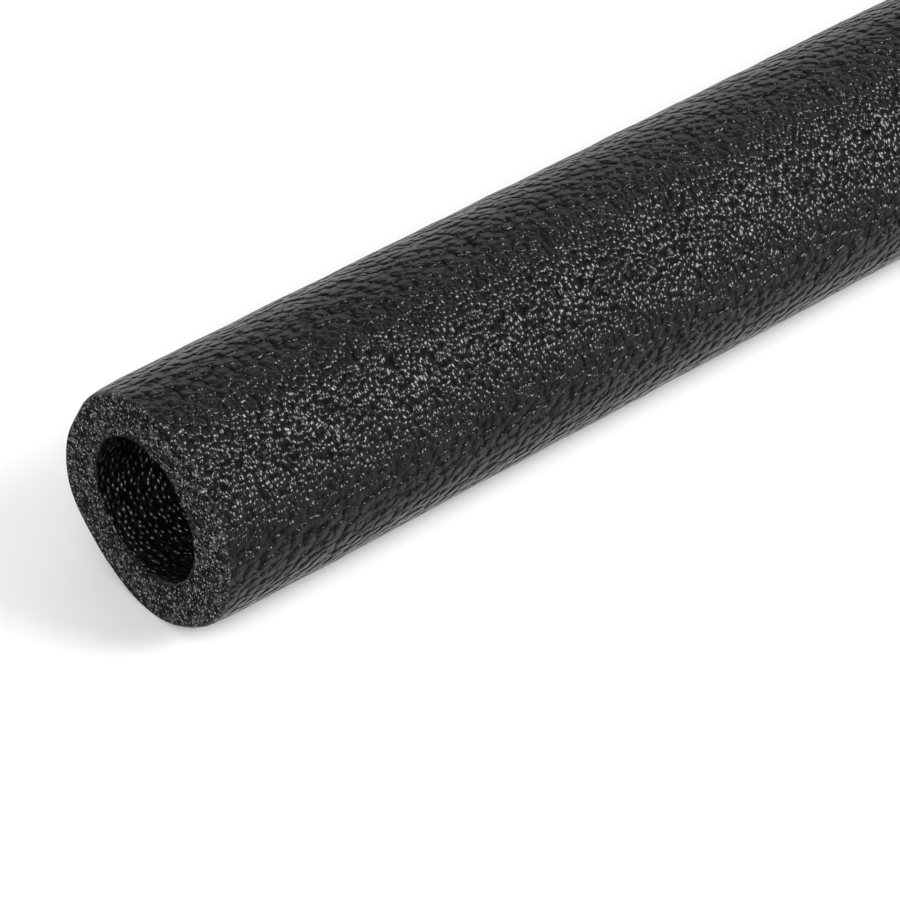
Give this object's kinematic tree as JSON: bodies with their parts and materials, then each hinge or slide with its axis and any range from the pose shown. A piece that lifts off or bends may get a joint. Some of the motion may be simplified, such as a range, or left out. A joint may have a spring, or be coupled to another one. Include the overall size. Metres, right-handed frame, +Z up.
{
  "type": "pipe insulation tube",
  "caption": "Round closed-cell foam insulation tube, cut square at both ends, with a through bore that slides over a pipe.",
  "frame": {"origin": "under the middle of the tube's length, on the surface that it lies on", "axes": "+X along the bore, +Z up away from the surface that the tube lies on"},
  "size_m": [1, 0.046, 0.046],
  "materials": {
    "foam": "charcoal closed-cell polyethylene foam, with a softly blistered skin and fine open cells on the cut ends"
  },
  "bodies": {
    "root": {"foam_tube": "foam"}
  },
  "joints": []
}
